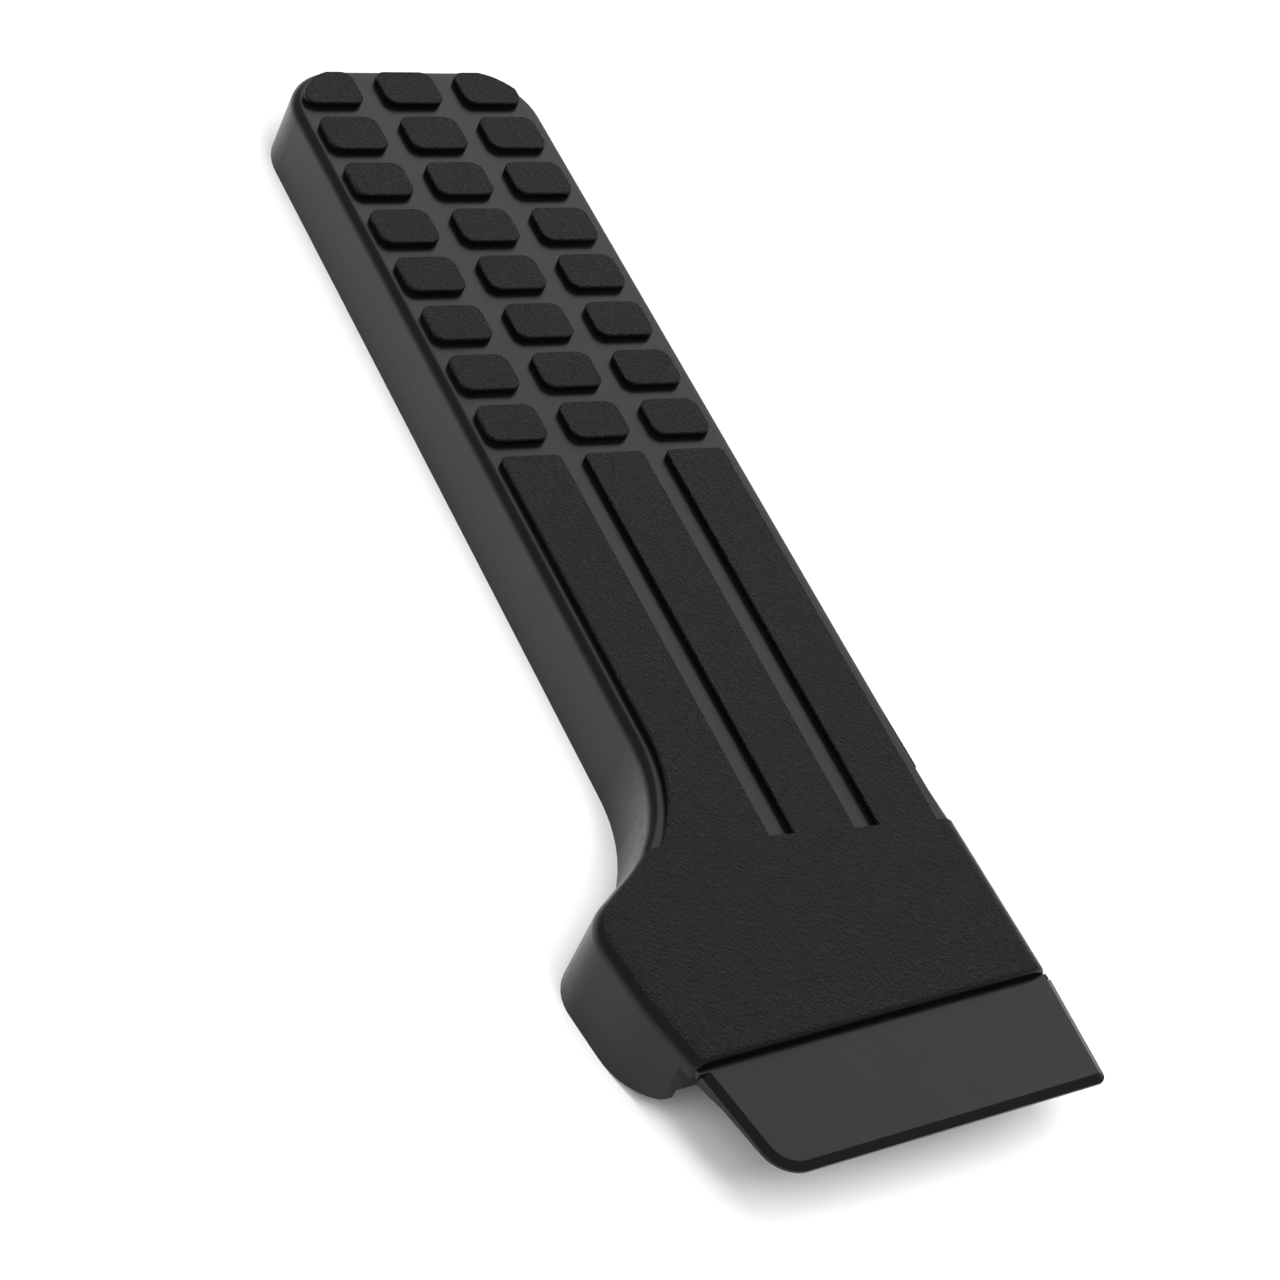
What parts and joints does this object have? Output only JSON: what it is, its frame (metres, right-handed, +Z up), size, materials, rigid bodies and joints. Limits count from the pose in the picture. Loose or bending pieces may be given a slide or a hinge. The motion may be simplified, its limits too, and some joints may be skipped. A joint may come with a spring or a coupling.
{
  "type": "accelerator pedal",
  "caption": "Long ribbed moulded pedal tread with block pads and grooves, flared at the heel end, on a skewed film hinge above a short bolted heel plate.",
  "frame": {"origin": "middle of the bounding box in plan, on the plane that the tread's side walls stand on", "axes": "+Y along the tread towards the toe end, +Z up out of the tread, +X to the driver's right, away from the flare"},
  "size_m": [0.0804, 0.2579, 0.0175],
  "materials": {
    "moulding": "black moulded plastic, fine leather grain on the raised faces, satin elsewhere",
    "plated_steel": "zinc-plated pressed steel",
    "screw_steel": "zinc-plated screws",
    "stop_rubber": "moulded black rubber",
    "insert_brass": "turned and knurled brass",
    "foam": "closed-cell foam"
  },
  "bodies": {
    "heel": {"heel_plate": "moulding", "heel_insert_left": "insert_brass", "heel_insert_right": "insert_brass", "heel_backing_plate": "plated_steel", "heel_foam_pad": "foam"},
    "pedal": {"tread_plate": "moulding", "side_wall": "moulding", "long_ribs": "moulding", "cross_ribs": "moulding", "screw_bosses": "moulding", "hinge_film": "moulding", "spine_strip": "plated_steel", "spine_screws": "screw_steel", "link_nut": "plated_steel", "throttle_stop": "stop_rubber", "stop_screw": "screw_steel", "stop_washer": "plated_steel"}
  },
  "joints": [
    {"name": "film_hinge", "type": "hinge", "parent": "heel", "child": "pedal", "pos_m": [0.00659, -0.10315, 0.01504], "axis": [0.9905, 0.1374, 0], "range_deg": [0, 60], "stiffness_Nm_per_rad": 0.3, "deforming": ["hinge_film"]}
  ]
}
